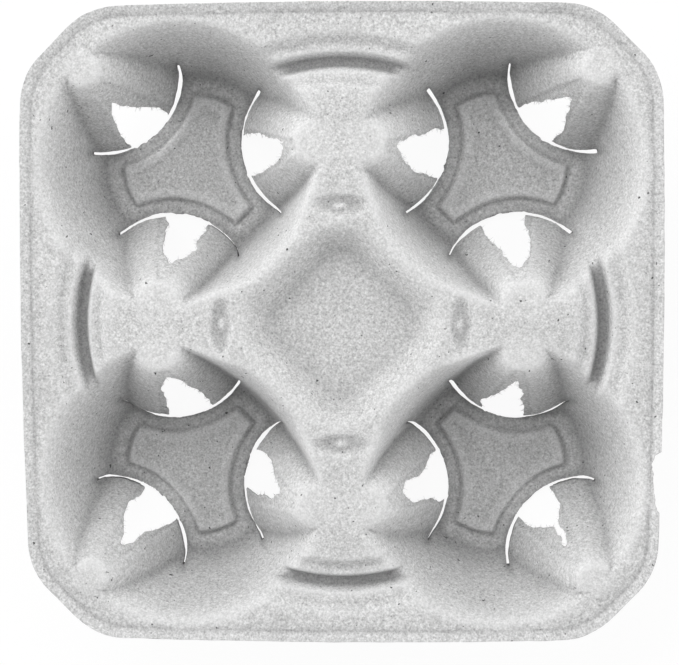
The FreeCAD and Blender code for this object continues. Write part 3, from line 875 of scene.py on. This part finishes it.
def fibre_tree(material):
    """Thin tapered fibres on points, each leaning into the hole it lines."""
    tree = bpy.data.node_groups.new("torn_fibres", "GeometryNodeTree")
    group_socket(tree, "Geometry", "NodeSocketGeometry", True)
    for name, value in (("Length", 0.0016), ("Thickness", 0.00009), ("Share", 0.5), ("Stray", 1.0)):
        group_socket(tree, name, "NodeSocketFloat", True, value)
    group_socket(tree, "Seed", "NodeSocketInt", True, 3)
    group_socket(tree, "Geometry", "NodeSocketGeometry", False)
    given = tree.nodes.new("NodeGroupInput").outputs
    result = tree.nodes.new("NodeGroupOutput")
    fibre = tree_node(
        tree, "GeometryNodeMeshCone", Vertices=4, Radius_Top=0.00002,
        Radius_Bottom=given["Thickness"], Depth=given["Length"])
    into = tree.nodes.new("GeometryNodeInputNamedAttribute")
    into.data_type = "FLOAT_VECTOR"
    into.inputs["Name"].default_value = "into"
    stray = tree.nodes.new("FunctionNodeRandomValue")
    stray.data_type = "FLOAT_VECTOR"
    stray.inputs["Min"].default_value = (-1, -1, -1)
    stray.inputs["Max"].default_value = (1, 1, 1)
    tree.links.new(given["Seed"], stray.inputs["Seed"])
    lean = tree.nodes.new("ShaderNodeVectorMath")
    lean.operation = "MULTIPLY_ADD"
    tree.links.new(stray.outputs["Value"], lean.inputs[0])
    tree.links.new(given["Stray"], lean.inputs[1])
    tree.links.new(into.outputs["Attribute"], lean.inputs[2])
    turn = tree.nodes.new("FunctionNodeAlignRotationToVector")
    turn.axis = "Z"
    tree.links.new(lean.outputs[0], turn.inputs["Vector"])
    size = tree.nodes.new("FunctionNodeRandomValue")
    size.data_type = "FLOAT"
    size.inputs[2].default_value = 0.35
    size.inputs[3].default_value = 1.3
    tree.links.new(given["Seed"], size.inputs["Seed"])
    some = tree.nodes.new("FunctionNodeRandomValue")
    some.data_type = "BOOLEAN"
    tree.links.new(given["Share"], some.inputs["Probability"])
    spread = tree_node(
        tree, "GeometryNodeInstanceOnPoints", Points=given["Geometry"],
        Selection=some.outputs[3], Instance=fibre.outputs["Mesh"],
        Rotation=turn.outputs[0], Scale=size.outputs[1])
    real = tree_node(tree, "GeometryNodeRealizeInstances", Geometry=spread.outputs[0])
    painted = tree_node(
        tree, "GeometryNodeSetMaterial", Geometry=real.outputs[0], Material=material)
    tree.links.new(painted.outputs[0], result.inputs[0])
    return tree


def grown_piece(name, base, tree, **values):
    """A plain mesh object grown from a base by a node tree, at the origin."""
    grower = base.modifiers.new(name, "NODES")
    grower.node_group = tree
    for item in tree.interface.items_tree:
        if item.item_type == "SOCKET" and item.in_out == "INPUT" and item.name in values:
            grower[item.identifier] = values[item.name]
    bpy.context.view_layer.update()
    ready = base.evaluated_get(bpy.context.evaluated_depsgraph_get())
    mesh = bpy.data.meshes.new_from_object(ready)
    mesh.name = name
    bpy.data.objects.remove(base)
    piece = bpy.data.objects.new(name, mesh)
    bpy.context.scene.collection.objects.link(piece)
    return piece


class CARRIER_PG_fibres(bpy.types.PropertyGroup):
    """Sizes of the loose fibres on the torn edges."""

    length: bpy.props.FloatProperty(
        name="Length", description="Length of a middling fibre",
        default=0.0013, min=0.0002, max=0.01, unit="LENGTH")
    thickness: bpy.props.FloatProperty(
        name="Thickness", description="Radius of a fibre at its root",
        default=0.00009, min=0.00002, max=0.001, unit="LENGTH")
    share: bpy.props.FloatProperty(
        name="Share", description="How many of the edge's points carry a fibre",
        default=0.22, subtype="FACTOR", min=0.0, max=1.0)


class CARRIER_PG_sheet(bpy.types.PropertyGroup):
    """Sizes and colour of the moulded sheet."""

    wall: bpy.props.FloatProperty(
        name="Wall", description="Thickness of the moulded sheet in millimetres",
        default=1.8, min=0.5, max=4.0)
    web: bpy.props.FloatProperty(
        name="Torn web", description="Thickness of the torn webs in millimetres",
        default=0.7, min=0.3, max=2.0)
    finest: bpy.props.FloatProperty(
        name="Finest step", description="Shortest triangle side in millimetres",
        default=0.7, min=0.2, max=5.0)
    tolerance: bpy.props.FloatProperty(
        name="Tolerance", description="Largest departure of a triangle in millimetres",
        default=0.15, min=0.005, max=1.0)
    colour: bpy.props.FloatVectorProperty(
        name="Pulp colour", description="Colour of the dry pulp",
        default=(0.53, 0.53, 0.53), subtype="COLOR", min=0.0, max=1.0)
    # The colour of the painted shade in the creases and at the slit ends.
    painted_shade_colour: bpy.props.FloatVectorProperty(
        name="Crease colour", description="Colour of the pulp in its sharpest creases",
        default=(0.14, 0.14, 0.14), subtype="COLOR", min=0.0, max=1.0)
    speck_colour: bpy.props.FloatVectorProperty(
        name="Speck colour", description="Colour of the dark specks in the pulp",
        default=(0.08, 0.08, 0.08), subtype="COLOR", min=0.0, max=1.0)


class CARRIER_PG_stage(bpy.types.PropertyGroup):
    """Light and floor of the stage."""

    key: bpy.props.FloatProperty(
        name="Key light", description="Power of the large soft lamp",
        default=13.6, min=0.0, subtype="POWER")
    sides: bpy.props.FloatProperty(
        name="Side light", description="Strength of the soft light from left and right",
        default=2.9, min=0.0, max=8.0)
    back: bpy.props.FloatProperty(
        name="Back light", description="Strength of the soft light from behind",
        default=0.3, min=0.0, max=8.0)
    front: bpy.props.FloatProperty(
        name="Front light", description="Strength of the soft light from the front",
        default=0.42, min=0.0, max=8.0)
    all_round: bpy.props.FloatProperty(
        name="Light all round", description="Strength of the even light",
        default=0.04, min=0.0, max=4.0)
    seen_white: bpy.props.FloatProperty(
        name="Backdrop white", description="How white the backdrop shows to the camera",
        default=0.93, subtype="FACTOR", min=0.0, max=1.0)


class CARRIER_OT_sheet(bpy.types.Operator):
    """Build the moulded sheet with its wells, ribs, slits and torn openings"""

    bl_idname = "carrier.sheet"
    bl_label = "Moulded sheet"

    def execute(self, context):
        look = context.scene.carrier_sheet
        corners, faces, shade_and_highlight, torn = sheet_mesh(
            look.wall, look.web, look.finest, look.tolerance)
        piece = plain_mesh("pulp_sheet", corners, faces)
        # The painted shade and highlight mask is stored on the sheet's points.
        mark = piece.data.attributes.new("shade_and_highlight", "FLOAT", "POINT")
        mark.data.foreach_set("value", shade_and_highlight.astype(np.float32))
        piece.data.materials.append(pulp_material(look))
        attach(piece, "root")
        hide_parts("cup_carrier")
        points, into = torn
        base = plain_mesh("torn_edge_points", points, np.zeros((0, 3), int))
        base.data.attributes.new("into", "FLOAT_VECTOR", "POINT").data.foreach_set(
            "vector", into.astype(np.float32).ravel())
        self.report({"INFO"}, f"{len(faces)} triangles")
        return {"FINISHED"}


class CARRIER_OT_fibres(bpy.types.Operator):
    """Grow loose fibres along the edges of the torn openings"""

    bl_idname = "carrier.fibres"
    bl_label = "Torn fibres"

    def execute(self, context):
        look = context.scene.carrier_fibres
        base = bpy.data.objects["torn_edge_points"]
        tree = fibre_tree(bpy.data.materials["grey_pulp"])
        piece = grown_piece(
            "torn_fibres", base, tree, Length=look.length,
            Thickness=look.thickness, Share=look.share)
        if not len(piece.data.polygons):
            raise RuntimeError("no fibre grew on the torn edges")
        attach(piece, "root")
        return {"FINISHED"}


class CARRIER_OT_stage(bpy.types.Operator):
    """Set the floor, the soft light and the camera"""

    bl_idname = "carrier.stage"
    bl_label = "Stage"

    def execute(self, context):
        scene = context.scene
        light = scene.carrier_stage
        bpy.ops.mesh.primitive_plane_add(size=4.0, location=(0, 0, -0.0004))
        floor = context.object
        floor.name = "floor"
        floor.data.materials.append(backdrop_paper(light.seen_white))
        scene.world = studio_light(light)
        lamp = bpy.data.lights.new("soft_key", "AREA")
        lamp.energy = light.key
        lamp.size = LAMP_SIZE
        key = bpy.data.objects.new("soft_key", lamp)
        key.location = LAMP_PLACE
        key.rotation_euler = (-key.location).to_track_quat("-Z", "Y").to_euler()
        scene.collection.objects.link(key)
        view = bpy.data.cameras.new("view")
        view.lens = CAMERA_LENS
        view.sensor_width = CAMERA_SENSOR
        view.clip_start = 0.05
        camera = bpy.data.objects.new("view", view)
        turn = Matrix.Identity(3)
        for angle, axis in CAMERA_TURNS:
            turn = turn @ Matrix.Rotation(angle, 3, axis)
        place = Matrix.Translation(CAMERA_PLACE)
        camera.matrix_world = place @ turn.transposed().to_4x4()
        scene.collection.objects.link(camera)
        scene.camera = camera
        scene.view_settings.view_transform = "Standard"
        return {"FINISHED"}


class CARRIER_PT_panel(bpy.types.Panel):
    """Sizes and steps of the carrier"""

    bl_idname = "CARRIER_PT_panel"
    bl_label = "Cup Carrier"
    bl_space_type = "VIEW_3D"
    bl_region_type = "UI"
    bl_category = "Cup Carrier"

    def draw(self, context):
        layout = self.layout
        for group in ("carrier_sheet", "carrier_fibres", "carrier_stage"):
            values = getattr(context.scene, group)
            for name in values.__annotations__:
                layout.prop(values, name)
        layout.operator("carrier.sheet")
        layout.operator("carrier.fibres")
        layout.operator("carrier.stage")


CLASSES = (
    CARRIER_PG_sheet,
    CARRIER_PG_fibres,
    CARRIER_PG_stage,
    CARRIER_OT_sheet,
    CARRIER_OT_fibres,
    CARRIER_OT_stage,
    CARRIER_PT_panel,
)


def register():
    """Register the classes and hang the settings on the scene."""
    for each in CLASSES:
        bpy.utils.register_class(each)
    bpy.types.Scene.carrier_sheet = bpy.props.PointerProperty(type=CARRIER_PG_sheet)
    bpy.types.Scene.carrier_fibres = bpy.props.PointerProperty(type=CARRIER_PG_fibres)
    bpy.types.Scene.carrier_stage = bpy.props.PointerProperty(type=CARRIER_PG_stage)


def unregister():
    """Take the settings and the classes away again."""
    del bpy.types.Scene.carrier_stage
    del bpy.types.Scene.carrier_fibres
    del bpy.types.Scene.carrier_sheet
    for each in reversed(CLASSES):
        bpy.utils.unregister_class(each)


def main():
    """Build everything in order."""
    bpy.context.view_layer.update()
    register()
    bpy.ops.carrier.sheet()
    bpy.ops.carrier.fibres()
    bpy.ops.carrier.stage()


if __name__ == "__main__":
    main()
